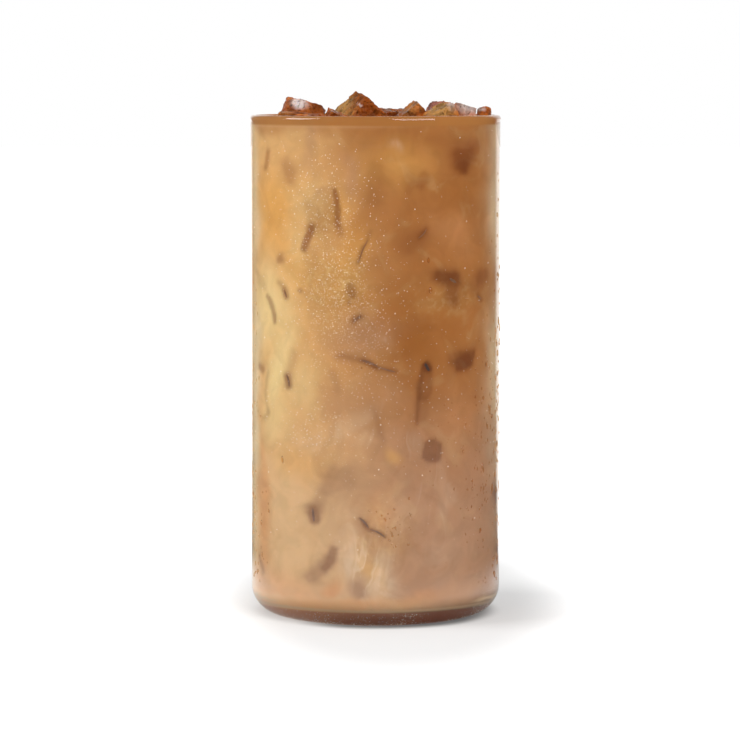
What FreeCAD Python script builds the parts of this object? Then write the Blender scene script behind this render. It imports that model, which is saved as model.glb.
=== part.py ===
"""Iced cold brew coffee with milk, served brim-full in a straight-sided tumbler.

The glass is one revolved solid: a shallow punt with a standing ring under a thick
base, a rounded heel, a thin straight wall and a fire-polished rim bead. The coffee
is one solid that fills the bore almost to the top of the rim, with a meniscus at the wall
and a pocket round each piece of ice that breaks the surface. The ice is broken
pieces, packed side by side: each one is a block cleaved by planes, parted from its
neighbours by the planes between them, and dished by a shell-shaped fracture.

Millimetres, +Z up, +Y to the back. The origin is the middle of the surface that the
glass stands on.
"""

import FreeCAD
import Part

import math
import os
from collections import namedtuple

Vector = FreeCAD.Vector

# ---- glass ----
GLASS_RADIUS = 36.0  # outside of the straight wall
GLASS_HEIGHT = 144.0  # standing plane to the top of the rim
WALL = 2.0  # straight wall
BASE_THICKNESS = 5.4  # standing plane to the inner floor
HEEL_RADIUS = 8.5  # outer corner between the base and the wall
FLOOR_CORNER_RADIUS = 6.0  # inner corner between the floor and the wall
PUNT_RADIUS = 20.0  # shallow dome under the base, inside the standing ring
PUNT_RISE = 1.1
BEAD_SWELL = 0.3  # how far the rim bead stands out from each side of the wall
BEAD_BLEND_RADIUS = 3.0  # hollow that leads from the wall into the bead

# ---- coffee ----
LEVEL_BELOW_RIM = 0.8  # flat surface of the drink
MENISCUS_RISE = 0.3  # how far the drink climbs the wall
MENISCUS_REACH = 1.2  # how far in from the wall the climb starts

# ---- ice ----
ICE_GAP = 0.5  # coffee between neighbouring pieces
ICE_WALL_GAP = 0.3  # coffee between a piece and the rim bead
CLEAVE_BITE = 0.20  # share of a piece's half size that a cleaving plane takes off a corner
CLEAVE_SWING = 0.35  # how far a cleaving plane leans towards one side of its corner
CLEAVE_SPREAD = 0.6  # how much the bites differ from corner to corner
DISH_DEPTH = 0.7  # depth of the shell-shaped fracture on a piece's face
DISH_RADIUS = 14.0
DISH_OFF_CENTRE = 0.13  # share of the face's size that the fracture lies off its middle
PARTING_TILT = 9.0  # degrees, the most that the plane between two neighbours leans
PARTING_DEPTH = 1 / 3  # share of a piece's depth, below the level, where that plane is set
PARTING_REACH = 0.4  # pieces nearer than this share of their lengths and widths are parted

# A piece of ice at the surface. bearing is in degrees, from +X towards +Y, and reach
# is its centre's distance from the axis as a share of the bore's radius. rise is its
# highest corner over the rim, and length, width and depth are those of its block
# before it is cleaved. yaw, lean and roll turn the block about Z, Y and X.
Piece = namedtuple("Piece", "name bearing reach rise length width depth yaw lean roll")

ICE = [
    Piece("ice_peak", 223, 0.18, 6.9, 17, 16, 18, 24, 41, 10),
    Piece("ice_left", 189, 0.66, 5.6, 12, 13, 15, 4, 19, -8),
    Piece("ice_left_front", 220, 0.80, 1.4, 14, 11, 12, 12, 3, 6),
    Piece("ice_front_left", 243, 0.70, 2.5, 10, 9, 11, 10, 24, 8),
    Piece("ice_front", 275, 0.68, -0.4, 15, 12, 13, 8, 8, 5),
    Piece("ice_front_right", 303, 0.80, -0.6, 12, 10, 11, 50, -12, 9),
    Piece("ice_right_peak", 342, 0.38, 4.4, 8, 12, 13, 6, -38, 5),
    Piece("ice_right", 330, 0.67, 4.1, 11, 12, 14, 10, -27, 10),
    Piece("ice_right_end", 352, 0.73, 3.7, 10, 12, 13, 14, 18, -8),
    Piece("ice_right_back", 17, 0.57, 4.0, 8, 11, 13, 12, 16, -8),
    Piece("ice_right_wall", 354, 0.93, 2.6, 8, 12, 12, 3, 2, -5),
    Piece("ice_ridge", 66, 0.22, 2.2, 18, 14, 12, -6, 2, 5),
    Piece("ice_back_right", 47, 0.80, 0.6, 13, 12, 13, 30, 16, -9),
    Piece("ice_back", 83, 0.74, 1.1, 16, 13, 13, -18, -9, 13),
    Piece("ice_back_left", 117, 0.84, 0.1, 12, 11, 11, 5, 21, 8),
    Piece("ice_middle_left", 134, 0.50, 1.3, 15, 14, 14, 48, -14, -11),
    Piece("ice_left_back", 158, 0.84, -0.4, 12, 13, 12, -25, 12, 17),
]

# ---- worked out from the sizes above ----
BORE_RADIUS = GLASS_RADIUS - WALL
BEAD_RADIUS = WALL / 2 + BEAD_SWELL
BEAD_HEIGHT = GLASS_HEIGHT - BEAD_RADIUS  # centre of the bead's round section
LEVEL = GLASS_HEIGHT - LEVEL_BELOW_RIM
GOLDEN_ANGLE = math.pi * (3 - math.sqrt(5))
BIG = 4 * (GLASS_RADIUS + GLASS_HEIGHT)


def in_profile(radius, height):
    """A point of a revolved profile, which is drawn in the XZ plane."""
    return Vector(radius, 0, height)


def line(start, end):
    return Part.LineSegment(start, end).toShape()


def arc(start, middle, end):
    return Part.Arc(start, middle, end).toShape()


def arc_about(centre, radius, first, last):
    """An arc of the profile about centre, from one angle to another, in degrees."""
    at = [
        centre + in_profile(radius * math.cos(math.radians(a)), radius * math.sin(math.radians(a)))
        for a in (first, (first + last) / 2, last)
    ]
    return arc(*at), at[0], at[2]


def revolve(edges):
    wire = Part.Wire(Part.__sortEdges__(edges))
    return Part.Face(wire).revolve(Vector(), Vector(0, 0, 1), 360)


def rim_edges():
    """The bead and the hollows on both its sides, and where they meet the two walls."""
    bead_centre = in_profile(GLASS_RADIUS - WALL / 2, BEAD_HEIGHT)
    between = BEAD_RADIUS + BEAD_BLEND_RADIUS
    across = WALL / 2 + BEAD_BLEND_RADIUS
    down = math.sqrt(between**2 - across**2)
    turn = math.degrees(math.atan2(down, across))
    bead, outer, inner = arc_about(bead_centre, BEAD_RADIUS, -turn, 180 + turn)
    outer_hollow, outer_top, outer_foot = arc_about(
        bead_centre + in_profile(across, -down), BEAD_BLEND_RADIUS, 180 - turn, 180
    )
    inner_hollow, inner_top, inner_foot = arc_about(
        bead_centre + in_profile(-across, -down), BEAD_BLEND_RADIUS, turn, 0
    )
    return [outer_hollow, bead, inner_hollow], outer_foot, inner_foot


def tumbler():
    """The glass, revolved from its wall section."""
    rim, outer_foot, inner_foot = rim_edges()
    heel, heel_bottom, heel_top = arc_about(
        in_profile(GLASS_RADIUS - HEEL_RADIUS, HEEL_RADIUS), HEEL_RADIUS, -90, 0
    )
    corner, floor_edge, corner_top = arc_about(
        in_profile(BORE_RADIUS - FLOOR_CORNER_RADIUS, BASE_THICKNESS + FLOOR_CORNER_RADIUS),
        FLOOR_CORNER_RADIUS,
        -90,
        0,
    )
    punt_radius = (PUNT_RADIUS**2 + PUNT_RISE**2) / (2 * PUNT_RISE)
    half_way = math.asin(PUNT_RADIUS / punt_radius) / 2
    punt_top = in_profile(0, PUNT_RISE)
    punt_middle = in_profile(
        punt_radius * math.sin(half_way), PUNT_RISE - punt_radius * (1 - math.cos(half_way))
    )
    punt_edge = in_profile(PUNT_RADIUS, 0)
    floor_middle = in_profile(0, BASE_THICKNESS)
    return revolve(
        [
            arc(punt_top, punt_middle, punt_edge),
            line(punt_edge, heel_bottom),
            heel,
            line(heel_top, outer_foot),
            *rim,
            line(inner_foot, corner_top),
            corner,
            line(floor_edge, floor_middle),
            line(floor_middle, punt_top),
        ]
    )


def drink(glass):
    """What fills the bore: a disc-topped blank that runs into the wall, less the glass."""
    into_wall = GLASS_RADIUS - WALL / 2
    climb_start = BORE_RADIUS - MENISCUS_REACH
    climb_radius = (MENISCUS_REACH**2 + MENISCUS_RISE**2) / (2 * MENISCUS_RISE)
    half_way = math.asin(MENISCUS_REACH / climb_radius) / 2
    floor_middle = in_profile(0, BASE_THICKNESS / 2)
    floor_edge = in_profile(into_wall, BASE_THICKNESS / 2)
    wall_top = in_profile(into_wall, LEVEL + MENISCUS_RISE)
    climb_top = in_profile(BORE_RADIUS, LEVEL + MENISCUS_RISE)
    climb_middle = in_profile(
        climb_start + climb_radius * math.sin(half_way),
        LEVEL + climb_radius * (1 - math.cos(half_way)),
    )
    climb_foot = in_profile(climb_start, LEVEL)
    level_middle = in_profile(0, LEVEL)
    blank = revolve(
        [
            line(floor_middle, floor_edge),
            line(floor_edge, wall_top),
            line(wall_top, climb_top),
            arc(climb_top, climb_middle, climb_foot),
            line(climb_foot, level_middle),
            line(level_middle, floor_middle),
        ]
    )
    inside = [s for s in blank.cut(glass).Solids if s.BoundBox.ZMax > LEVEL]
    return max(inside, key=lambda s: s.Volume)


def half_space(point, normal):
    """All that lies on the normal's side of a plane, as a big block."""
    block = Part.makeBox(BIG, BIG, BIG, Vector(-BIG / 2, -BIG / 2, 0))
    block.Placement = FreeCAD.Placement(point, FreeCAD.Rotation(Vector(0, 0, 1), normal)) * (
        block.Placement
    )
    return block


def uneven(count):
    """A value from -1 to 1 that jumps about from one count to the next, the same each time."""
    return math.sin(GOLDEN_ANGLE * count)


def cleaved_block(piece, number):
    """A block of ice with its corners knocked off and one face dished, centred and unturned."""
    size = Vector(piece.length, piece.width, piece.depth)
    block = Part.makeBox(size.x, size.y, size.z, size * -0.5)
    for corner in range(8):
        signs = [1 if corner & (1 << bit) else -1 for bit in range(3)]
        swing = CLEAVE_SWING * uneven(number * 8 + corner + 1)
        normal = Vector(
            signs[0] * (1 + swing) / size.x,
            signs[1] * (1 - swing) / size.y,
            signs[2] * (1 + CLEAVE_SPREAD * swing) / size.z,
        )
        at_corner = Vector(signs[0] * size.x, signs[1] * size.y, signs[2] * size.z) * 0.5
        bite = CLEAVE_BITE * (1 + CLEAVE_SPREAD * uneven(number + 5 * corner))
        normal.normalize()
        reach = at_corner.dot(normal) * (1 - bite)
        block = block.cut(half_space(normal * reach, normal))
    side = -1 if number % 2 else 1
    dish_centre = Vector(
        size.x * DISH_OFF_CENTRE * side,
        side * (size.y / 2 + DISH_RADIUS - DISH_DEPTH),
        size.z * DISH_OFF_CENTRE,
    )
    return block.cut(Part.makeSphere(DISH_RADIUS, dish_centre))


def centre_of(piece):
    bearing = math.radians(piece.bearing)
    distance = piece.reach * BORE_RADIUS
    return Vector(distance * math.cos(bearing), distance * math.sin(bearing), 0)


def in_place(piece, number):
    """The cleaved block, turned and set with its highest corner at its rise over the rim."""
    block = cleaved_block(piece, number)
    block.rotate(Vector(), Vector(1, 0, 0), piece.roll)
    block.rotate(Vector(), Vector(0, 1, 0), piece.lean)
    block.rotate(Vector(), Vector(0, 0, 1), piece.yaw)
    top = block.optimalBoundingBox().ZMax
    block.translate(centre_of(piece) + Vector(0, 0, GLASS_HEIGHT + piece.rise - top))
    return block


def are_neighbours(first, second):
    reach = PARTING_REACH * (first.length + first.width + second.length + second.width)
    return (centre_of(second) - centre_of(first)).Length < reach


def parting_plane(first_number, second_number):
    """The plane between two neighbours: a point, and the normal that points at the second."""
    first, second = ICE[first_number], ICE[second_number]
    apart = centre_of(second) - centre_of(first)
    share = (first.length + first.width) / (
        first.length + first.width + second.length + second.width
    )
    below = Vector(0, 0, LEVEL - first.depth * PARTING_DEPTH)
    point = centre_of(first) + apart * share + below
    tilt = math.radians(PARTING_TILT) * uneven(first_number * len(ICE) + second_number)
    return point, apart.normalize() * math.cos(tilt) + Vector(0, 0, math.sin(tilt))


def parted(block, number):
    """block, less what lies past the planes between its piece and each neighbour."""
    for other_number, other in enumerate(ICE):
        if other_number == number or not are_neighbours(ICE[number], other):
            continue
        point, normal = parting_plane(min(number, other_number), max(number, other_number))
        if other_number < number:
            normal = normal * -1
        block = block.cut(half_space(point - normal * (ICE_GAP / 2), normal))
    return block


def ice():
    """Every piece of ice at the surface, by name."""
    bore = Part.makeCylinder(BORE_RADIUS - BEAD_SWELL - ICE_WALL_GAP, BIG, Vector(0, 0, 0))
    pieces = {}
    for number, piece in enumerate(ICE):
        block = parted(in_place(piece, number), number).common(bore)
        pieces[piece.name] = max(block.Solids, key=lambda s: s.Volume)
    return pieces


def main():
    os.makedirs("parts", exist_ok=True)
    glass = tumbler()
    pieces = ice()
    coffee = drink(glass)
    for block in pieces.values():
        coffee = coffee.cut(block)
    coffee = max(coffee.Solids, key=lambda s: s.Volume)
    for name, shape in {"glass": glass, "coffee": coffee, **pieces}.items():
        shape.exportStep(f"parts/{name}.step")
        print(f"{name}: {shape.Volume / 1000:.2f} cm3, valid {shape.isValid()}")


main()
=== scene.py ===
"""Iced cold brew coffee with milk in a straight tumbler, brim-full, with broken ice.

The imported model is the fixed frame. Round it this file makes the fire-polished glass,
the milky coffee with its swirls and the ice that shows through it, the wet ice that
stands over the rim, the foam along the wall, and the condensation on the glass.

A place on the drink's wall is given by how far round it is, in degrees to the right of
the front, and by its height over the table, in millimetres.
"""

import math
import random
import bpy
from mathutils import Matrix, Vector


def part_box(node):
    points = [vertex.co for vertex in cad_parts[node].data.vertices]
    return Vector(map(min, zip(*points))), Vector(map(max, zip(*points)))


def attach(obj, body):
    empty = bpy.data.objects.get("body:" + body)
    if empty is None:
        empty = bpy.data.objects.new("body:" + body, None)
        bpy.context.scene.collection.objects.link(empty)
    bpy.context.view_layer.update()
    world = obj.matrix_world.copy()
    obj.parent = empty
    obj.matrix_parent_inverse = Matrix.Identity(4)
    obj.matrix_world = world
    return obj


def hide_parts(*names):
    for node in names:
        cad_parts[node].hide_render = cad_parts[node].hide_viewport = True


bl_info = {
    "name": "Iced Cold Brew Coffee",
    "version": (1, 0, 0),
    "blender": (4, 5, 0),
    "location": "View3D > Sidebar > Iced Coffee",
    "description": "A brim-full tumbler of milky iced coffee, with broken ice and condensation",
    "category": "Add Mesh",
}

from collections import namedtuple

import bmesh
import bpy
import numpy as np
from bpy.props import FloatProperty, FloatVectorProperty, IntProperty, PointerProperty
from bpy.types import Operator, Panel, PropertyGroup
from mathutils import Euler, Matrix, Vector, noise

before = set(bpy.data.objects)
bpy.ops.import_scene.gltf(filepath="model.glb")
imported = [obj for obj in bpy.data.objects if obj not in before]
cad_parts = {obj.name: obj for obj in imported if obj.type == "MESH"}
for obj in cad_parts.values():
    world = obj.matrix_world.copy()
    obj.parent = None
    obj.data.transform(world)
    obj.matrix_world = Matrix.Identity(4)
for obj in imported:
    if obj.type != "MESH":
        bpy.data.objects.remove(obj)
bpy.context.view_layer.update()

NOISE_SEED = 7
noise.seed_set(NOISE_SEED)  # without it noise_vector is different on each run

MM = 0.001
BODY = "root"
GLASS_LOW, GLASS_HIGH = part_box("glass")
DRINK_LOW, DRINK_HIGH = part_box("coffee")
ICE_NODES = sorted(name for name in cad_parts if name.startswith("ice_"))
BORE_RADIUS = DRINK_HIGH.x  # the drink fills the bore
OUTER_RADIUS = GLASS_HIGH.x - 0.3 * MM  # the wall, inside the rim bead
FLOOR = DRINK_LOW.z  # inner floor of the glass
RIM = GLASS_HIGH.z
WELD = 0.001 * MM  # points that are closer than this are one point

# ---- places ----

# A patch of the drink's wall where one of its colours gathers. across and up are its
# half sizes in millimetres, turn is how far it leans, anticlockwise as seen, in degrees,
# and strength is how much of the colour its middle takes.
Cloud = namedtuple("Cloud", "colour round height across up turn strength")
CLOUDS = [
    Cloud("pale", -62, 87, 10, 13, -20, 0.9),
    Cloud("pale", -52, 72, 6, 13, -12, 1.0),
    Cloud("pale", -50, 62, 8, 10, 0, 0.6),
    Cloud("pale", -36, 70, 7, 8, 40, 0.5),
    Cloud("pale", -34, 121, 6, 7, 0, 0.3),
    Cloud("pale", -40, 108, 4, 8, 0, 0.35),
    Cloud("golden", -56, 116, 9, 13, 0, 0.8),
    Cloud("golden", -42, 101, 6, 8, 0, 0.5),
    Cloud("golden", -15, 120, 5, 6, 0, 0.5),
    Cloud("golden", 9, 130, 9, 6, 0, 0.45),
    Cloud("golden", -10, 106, 5, 10, -25, 0.5),
    Cloud("golden", -36, 47, 10, 6, 0, 0.3),
    Cloud("golden", 8, 47, 1.8, 2.4, 0, 0.4),
    Cloud("golden", -2, 18, 2.5, 6, 20, 0.5),
    Cloud("olive", -24, 116, 6, 7, 0, 0.6),
    Cloud("olive", -22, 97, 9, 10, 0, 0.7),
    Cloud("olive", -10, 97, 5, 8, 0, 0.8),
    Cloud("olive", 34, 93, 10, 6, 0, 0.3),
    Cloud("olive", 4, 26, 8, 8, 0, 0.3),
    Cloud("caramel", 2, 136, 12, 6, 0, 0.35),
    Cloud("caramel", 12, 92, 8, 8, 0, 0.5),
    Cloud("caramel", 20, 80, 6, 13, 10, 0.9),
    Cloud("caramel", 30, 84, 10, 10, 0, 0.5),
    Cloud("caramel", 44, 124, 9, 9, 0, 0.4),
    Cloud("caramel", 16, 68, 5, 5, 0, 0.5),
    Cloud("caramel", -4, 114, 3, 9, -30, 0.3),
    Cloud("rosy", -4, 83, 10, 6, 10, 0.5),
    Cloud("rosy", -12, 66, 9, 6, 0, 0.3),
    Cloud("rosy", -10, 128, 2.5, 6, 0, 0.4),
    Cloud("rosy", -32, 137, 2.5, 6, 0, 0.35),
    Cloud("blush_and_painted_light", -64, 30, 3, 24, 0, 0.6),
    Cloud("blush_and_painted_light", -50, 10, 18, 6, 0, 0.6),
    Cloud("blush_and_painted_light", -24, 12, 4, 3, 40, 0.8),
    Cloud("blush_and_painted_light", 44, 60, 7, 8, 0, 0.15),
    Cloud("blush_and_painted_light", 6, 32, 4, 5, 0, 0.4),
    Cloud("blush_and_painted_light", 40, 112, 7, 7, 0, 0.3),
    # Painted reflection: pale sheen at the glass's far left and right, where it mirrors the
    # bright studio.
    Cloud("painted_side_sheen", -77, 58, 4.5, 42, 0, 0.9),
    Cloud("painted_side_sheen", -78, 118, 4, 24, 0, 0.6),
    Cloud("painted_side_sheen", 84, 66, 10, 40, 0, 0.65),
    Cloud("painted_side_sheen", 84, 118, 10.5, 36, 0, 0.65),
    # Painted light: a lighter band round the drink's lowest edge, where it curves away from the
    # lamps.
    Cloud("blush_and_painted_light", -30, 7.6, 44, 2.4, 0, 0.7),
    Cloud("rosy", 56, 12, 16, 12, 0, 0.9),
    Cloud("rosy", 70, 30, 5, 24, 0, 0.6),
    Cloud("caramel", 66, 10, 12, 7, 0, 0.7),
    Cloud("milk", -4, 19, 6, 11, 25, 0.9),
    Cloud("milk", 34, 18, 9, 7, 0, 0.2),
    Cloud("milk", 24, 38, 2, 12, -10, 0.25),
    Cloud("milk", 33, 36, 2, 12, 12, 0.25),
    Cloud("milk", 10, 30, 6, 6, 0, 0.25),
    Cloud("milk", 6, 52, 9, 4, -20, 0.4),
    Cloud("milk", -16, 58, 12, 3, 20, 0.4),
    Cloud("milk", 7, 80, 1.6, 4, 40, 0.3),
    Cloud("milk", 10, 134, 1.2, 1.6, 0, 0.3),
]

# The clouds' colours in the order that they lie over each other; milk comes last.
# Blush also paints light low down, and the side sheen is a painted reflection.
TINTS = ("golden", "olive", "caramel", "rosy", "blush_and_painted_light", "pale", "painted_side_sheen")

# The colours at the drink's edges, over those, in their order; all but surface carry painted
# light.
EDGES = ("painted_glow", "pale_line_and_glint", "surface", "floor")

# An edge or a corner of sunk ice against the glass, along a line that bends to its left
# as it goes. wide is half its width and soft is how far its shade reaches beyond that,
# both in millimetres. edge is half the width of what touches the glass, 0 for none.
MARK = "round height to_round to_height bend wide soft strength edge"
Mark = namedtuple("Mark", MARK, defaults=(0,))
MARKS = [
    Mark(-60, 134, -62, 129, 0.0, 0.4, 0.8, 0.7),
    Mark(-47, 131, -43, 126, 0.4, 0.8, 1.8, 0.5),
    Mark(-19.0, 123.4, -17.6, 113.0, 0.3, 0.6, 0.5, 0.95),
    Mark(-17.8, 113.6, -16.6, 111.2, 0.0, 0.6, 0.9, 0.5),
    Mark(-24.5, 122, -27.5, 113, 0.0, 3.6, 1.4, 0.3),
    Mark(-28, 122.6, -21, 124, 0.4, 0.3, 0.7, 0.25),
    Mark(-31.0, 113.4, -35.6, 106.6, 0.2, 0.8, 0.7, 1.0),
    Mark(-51.4, 103.4, -49.4, 103.8, 0.0, 0.5, 1.1, 0.75),
    Mark(-73, 99, -63, 95, 0.0, 0.3, 1.4, 0.35),
    Mark(-52, 97, -46.5, 94.5, 0.3, 0.3, 0.8, 0.5),
    Mark(-47.5, 95, -45.8, 92.8, 0.0, 0.6, 0.6, 0.8, 0.3),
    Mark(-61, 92.8, -54.5, 85.5, 1.0, 0.55, 0.5, 0.75),
    Mark(-37.5, 95.2, -37, 94.8, 0.0, 0.5, 0.5, 0.7),
    Mark(-3.6, 109.6, -8, 103, -0.3, 0.25, 0.55, 0.65, 0.12),
    Mark(-2.2, 112.4, -4.2, 110, 0.0, 0.3, 0.5, 0.4),
    Mark(-11.4, 96.8, -11, 93.6, 0.0, 0.8, 0.8, 0.7),
    Mark(-12.6, 92.2, -12.4, 91.8, 0.0, 0.3, 0.5, 0.7),
    Mark(-10.4, 86.8, -6.8, 88.4, 0.0, 0.6, 0.6, 0.7, 0.3),
    Mark(0.5, 130, -1, 121, 0.0, 1.2, 2.2, 0.4),
    Mark(14, 126, 17, 126.5, 0.0, 1.2, 1.6, 0.35),
    Mark(21, 124.8, 23.5, 127.8, 0.0, 0.8, 1.2, 0.6),
    Mark(15, 122.5, 17.5, 125.5, 0.0, 0.4, 0.9, 0.35),
    Mark(40, 132, 50, 133.5, 0.0, 1.6, 2.0, 0.8),
    Mark(42, 130.6, 47, 129.6, 0.0, 1.3, 1.3, 1.0),
    Mark(48, 133, 55, 136, 0.0, 0.8, 2.2, 0.4),
    Mark(30, 134, 40, 134, 0.0, 1.0, 3.0, 0.25),
    Mark(24, 112.5, 20, 110, 0.3, 0.3, 0.7, 0.75, 0.15),
    Mark(21.5, 110.5, 13, 107, 0.0, 1.3, 2.2, 0.4),
    Mark(29, 99.2, 41.5, 98.2, 0.0, 0.9, 1.4, 0.95),
    Mark(38, 98, 38.5, 92, 0.0, 1.1, 1.8, 0.75),
    Mark(36.5, 98.4, 40.5, 97.2, 0.0, 0.8, 0.8, 0.92, 0.35),
    Mark(46, 95, 56, 97, 0.0, 0.8, 2.4, 0.25),
    Mark(56, 97.5, 62, 99, 0.0, 1.0, 1.6, 0.5),
    Mark(55.5, 93, 58.5, 92, 0.0, 0.4, 0.7, 0.6, 0.2),
    Mark(-17, 77, -5.5, 75.8, 0.0, 0.3, 1.1, 0.55),
    Mark(-6.5, 75.9, 0.8, 74.2, 0.2, 0.35, 0.6, 0.9, 0.2),
    Mark(0, 74.3, 9, 72.6, -0.1, 0.2, 0.6, 0.6, 0.12),
    Mark(-46.2, 71, -44.3, 67.6, 0.3, 0.9, 0.9, 0.9, 0.3),
    Mark(-44.5, 71, -41.5, 77, 0.0, 0.6, 1.6, 0.35),
    Mark(-69.5, 72.5, -65, 71.5, 0.0, 0.5, 1.0, 0.7),
    Mark(-60, 71, -60, 60, -1.6, 0.2, 0.8, 0.35),
    Mark(-66, 57.5, -60, 60, -0.6, 0.2, 0.8, 0.35),
    Mark(-21, 72.4, -17.5, 68, 0.0, 0.4, 1.2, 0.35),
    Mark(-1, 62, 3, 54, 0.4, 0.2, 0.9, 0.3),
    Mark(23.4, 74.8, 25.6, 72.6, 0.0, 1.0, 0.5, 1.0, 0.4),
    Mark(22.0, 73.4, 19.4, 58, 0.0, 0.2, 0.5, 0.55),
    Mark(24.4, 73, 22.4, 65, 0.0, 1.9, 0.6, 0.45),
    Mark(22.4, 65, 21.2, 59, 0.0, 1.4, 1.2, 0.2),
    Mark(37, 75.8, 52, 76.6, 0.0, 0.9, 1.2, 0.5),
    Mark(41, 73.6, 49.5, 75.4, 0.0, 1.6, 1.2, 1.0),
    Mark(49.6, 73.2, 52.8, 77.2, 0.0, 0.35, 0.5, 0.6),
    Mark(23.2, 50.2, 31.6, 49.8, 0.0, 3.0, 0.5, 0.6),
    Mark(24.6, 47.8, 31.0, 47.4, 0.0, 0.8, 0.8, 0.3),
    Mark(-24, 41.5, -12.5, 43, 0.0, 2.4, 2.2, 0.35),
    Mark(-19, 45, -22, 41, 0.0, 1.0, 1.2, 0.25),
    Mark(-34, 33, -27, 33.4, 0.0, 1.0, 1.2, 0.45),
    Mark(-30.6, 33.6, -30.0, 29.8, 0.0, 1.3, 0.8, 0.8, 0.3),
    Mark(-28, 34, -24.4, 38.4, 0.0, 1.0, 1.4, 0.35),
    Mark(-7.4, 31.4, -3.2, 28.6, 0.2, 0.35, 0.45, 0.9, 0.2),
    Mark(-2.6, 28.2, 4.2, 26.0, 0.35, 0.2, 0.45, 0.75, 0.12),
    Mark(-7.6, 30.4, -3.8, 27.2, 0.0, 1.0, 1.4, 0.25),
    Mark(-19.6, 22.4, -24.6, 16.6, 0.2, 0.7, 0.8, 0.7),
    Mark(-23, 19, -33, 13.6, 0.5, 1.0, 1.6, 0.5),
    Mark(-9.4, 12.4, -7.5, 9.6, 0.0, 1.0, 1.5, 0.45),
    Mark(-70, 17, -66, 13, 0.0, 0.4, 1.0, 0.5),
]

# A patch of one finish on a piece of the ice that stands out of the drink: how far it is
# to the right of the glass's axis, its height and its half sizes, all in millimetres.
FINISHES = ("tan", "amber", "violet", "frost_and_glint")
Patch = namedtuple("Patch", "piece finish x height across up strength")
PATCHES = [
    Patch("left", "frost_and_glint", -21.8, 147.4, 2.2, 1.7, 1.0),
    Patch("left", "violet", -27.5, 147.5, 2.0, 3.0, 0.5),
    Patch("left", "amber", -15.5, 146.0, 3.0, 2.0, 0.5),
    Patch("peak", "tan", -10.5, 147.5, 4.6, 5.0, 1.0),
    Patch("peak", "amber", -1.5, 147.0, 4.6, 5.0, 1.0),
    # Painted highlight: a small white glint on the peak.
    Patch("peak", "frost_and_glint", -4.6, 147.0, 0.7, 0.4, 0.7),
    Patch("ridge", "amber", 4.0, 145.0, 14.0, 4.0, 0.8),
    Patch("right_peak", "tan", 9.5, 146.5, 3.5, 3.0, 0.4),
    Patch("right_back", "violet", 16.5, 147.0, 4.0, 4.0, 0.9),
    Patch("right", "tan", 18.0, 145.5, 4.5, 4.0, 0.9),
    Patch("right", "frost_and_glint", 22.0, 147.0, 1.6, 1.2, 0.6),
    Patch("right_end", "frost_and_glint", 26.5, 146.5, 3.5, 2.4, 0.7),
    Patch("right_end", "violet", 25.0, 148.5, 4.0, 1.0, 0.5),
    # Painted highlight: a white glint on the piece by the wall.
    Patch("right_wall", "frost_and_glint", 30.4, 145.6, 0.9, 0.6, 0.6),
    Patch("front_left", "amber", -17.0, 144.5, 5.0, 3.0, 1.0),
    Patch("left_front", "tan", -27.0, 145.0, 3.5, 3.0, 0.3),
]


# ---- settings ----


def linear(hex_colour):
    """The linear RGBA of an sRGB hex colour such as #C4935A."""
    parts = [int(hex_colour[i : i + 2], 16) / 255 for i in (1, 3, 5)]
    return (*(c / 12.92 if c <= 0.04045 else ((c + 0.055) / 1.055) ** 2.4 for c in parts), 1.0)


def whole_number(name, description, value):
    return IntProperty(name=name, description=description, default=value)


def number(name, description, value, subtype="NONE"):
    return FloatProperty(name=name, description=description, default=value, subtype=subtype)


def length(name, description, millimetres):
    return FloatProperty(
        name=name, description=description, default=millimetres * MM, min=0, unit="LENGTH"
    )


def vector(name, description, value, subtype):
    return FloatVectorProperty(
        name=name, description=description, default=value, size=len(value), subtype=subtype
    )


def colour(name, description, hex_colour):
    return vector(name, description, linear(hex_colour), "COLOR")


class TumblerSettings(PropertyGroup):
    segments: whole_number("Segments", "Steps round the glass", 256)
    wall_step: length("Wall step", "Distance between the rings of the wall", 6.0)
    heel: length("Heel", "Outer radius between the base and the wall", 7.8)
    floor_corner: length("Floor corner", "Inner radius between the floor and the wall", 4.0)
    punt_radius: length("Punt radius", "Radius of the shallow dome under the base", 20.0)
    punt_rise: length("Punt rise", "Height of the dome under the base", 1.1)
    bead_swell: length("Bead swell", "How far the rim bead stands out from the wall", 0.12)
    bead_blend: length("Bead blend", "Radius of the hollows under the bead", 3.0)
    tint: colour("Tint", "Colour of clear soda-lime glass", "#FDFFFE")


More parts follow.
